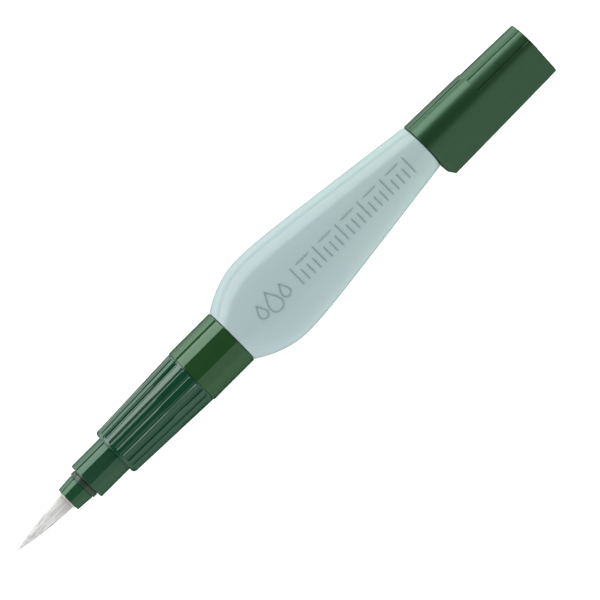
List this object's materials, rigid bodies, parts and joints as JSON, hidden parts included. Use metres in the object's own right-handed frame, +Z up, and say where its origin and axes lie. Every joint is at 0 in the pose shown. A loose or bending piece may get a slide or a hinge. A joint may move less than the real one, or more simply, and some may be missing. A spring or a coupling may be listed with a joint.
{
  "type": "water brush pen",
  "caption": "Refillable brush pen: filament tip, fluted grip that unscrews, flattened squeeze tank, and a lobed cap posted on the tail.",
  "frame": {"origin": "under the middle of the pen's length, on its axis, on the plane it lies on", "axes": "+X along the pen from the bristles to the cap, +Z up out of the tank's broad face, cap lobe towards -Y"},
  "size_m": [0.1376, 0.0194, 0.0127],
  "materials": {
    "bristle": "fine synthetic filaments, satin",
    "collar_white": "matt natural white",
    "nose_green": "polished, moulded",
    "seal_grey": "satin elastomer",
    "sleeve_green": "polished, moulded",
    "feed_white": "matt natural white",
    "sponge_grey": "open fibre",
    "plug_black": "matt black",
    "grip_green": "polished, fluted",
    "ring_green": "polished, turned",
    "gasket": "matt elastomer",
    "tank_mint": "milky translucent, satin",
    "cap_green": "satin, moulded",
    "liner_white": "matt natural white"
  },
  "bodies": {
    "tank": {"tank_shell": "tank_mint"},
    "gasket": {"neck_gasket": "gasket"},
    "brush_head": {"bristle_bundle": "bristle", "bristle_collar": "collar_white", "bristle_root": "collar_white", "nose_cone": "nose_green", "seal_ring": "seal_grey", "front_sleeve": "sleeve_green", "feed_core": "feed_white", "filter_sponge": "sponge_grey", "metering_plug": "plug_black", "grip_sleeve": "grip_green", "coupling_collar": "ring_green"},
    "cap": {"cap_shell": "cap_green", "cap_liner": "liner_white"}
  },
  "joints": [
    {"name": "cap_pull", "type": "slide", "parent": "tank", "child": "cap", "axis": [1, 0, 0], "range_m": [0, 0.03]},
    {"name": "head_travel", "type": "slide", "parent": "tank", "child": "gasket", "axis": [-1, 0, 0], "range_m": [0, 0.0066]},
    {"name": "head_turn", "type": "hinge", "parent": "gasket", "child": "brush_head", "pos_m": [0, 0, 0.00635], "axis": [-1, 0, 0], "range_deg": [0, 1080]}
  ],
  "couplings": [
    {"joint": "head_turn", "follows": "head_travel", "rad_per_m": 2856}
  ]
}
